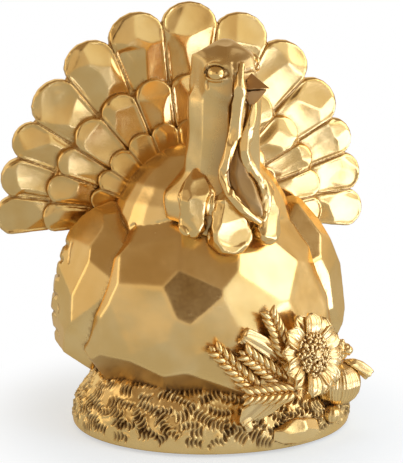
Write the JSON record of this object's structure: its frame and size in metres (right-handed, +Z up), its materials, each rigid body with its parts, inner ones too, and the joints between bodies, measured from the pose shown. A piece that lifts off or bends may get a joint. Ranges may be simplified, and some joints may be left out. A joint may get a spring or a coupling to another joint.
{
  "type": "thanksgiving turkey figure",
  "caption": "Gilded faceted turkey figure with a fanned tail and turned head, seated on an oval hay mound with a small harvest bunch; a tabletop decoration.",
  "frame": {"origin": "on the underside of the felt pad, straight below the middle of the body", "axes": "+Z up, the bird faces -Y, +X towards the bird's left"},
  "size_m": [0.2149, 0.1342, 0.231],
  "materials": {
    "bird": "metallic gold paint, satin, over cast resin",
    "tail": "metallic gold paint, satin, over cast resin",
    "beak": "darker metallic gold paint over cast resin",
    "eyes": "metallic gold paint over cast resin",
    "hay": "metallic gold paint with a brown wash in the grooves, over cast resin",
    "harvest": "metallic gold paint with a brown wash in the grooves, over cast resin",
    "felt": "dark pressed felt"
  },
  "bodies": {
    "root": {"base": "hay", "berries": "harvest", "body": "bird", "breast_lobe_left": "bird", "breast_lobe_middle": "bird", "breast_lobe_right": "bird", "curled_leaf": "harvest", "felt_pad": "felt", "flower_disc": "harvest", "flower_petals": "harvest", "head": "bird", "husk": "harvest", "left_eye": "eyes", "left_wing": "bird", "lower_beak": "beak", "neck": "bird", "nut": "harvest", "pumpkin": "harvest", "pumpkin_stem": "harvest", "right_eye": "eyes", "right_wing": "bird", "rump": "bird", "snood": "bird", "squash": "harvest", "tail_middle_01": "tail", "tail_middle_02": "tail", "tail_middle_03": "tail", "tail_middle_04": "tail", "tail_middle_05": "tail", "tail_middle_06": "tail", "tail_middle_07": "tail", "tail_middle_08": "tail", "tail_middle_09": "tail", "tail_middle_10": "tail", "tail_middle_11": "tail", "tail_middle_12": "tail", "tail_middle_13": "tail", "tail_outer_01": "tail", "tail_outer_02": "tail", "tail_outer_03": "tail", "tail_outer_04": "tail", "tail_outer_05": "tail", "tail_outer_06": "tail", "tail_outer_07": "tail", "tail_outer_08": "tail", "tail_outer_09": "tail", "tail_outer_10": "tail", "tail_outer_11": "tail", "tail_outer_12": "tail", "tail_outer_13": "tail", "tail_root": "tail", "upper_back": "bird", "upper_beak": "beak", "wattle_left": "bird", "wattle_right": "bird", "wheat_front": "harvest", "wheat_high": "harvest", "wheat_low": "harvest", "wheat_upright": "harvest"}
  },
  "joints": []
}
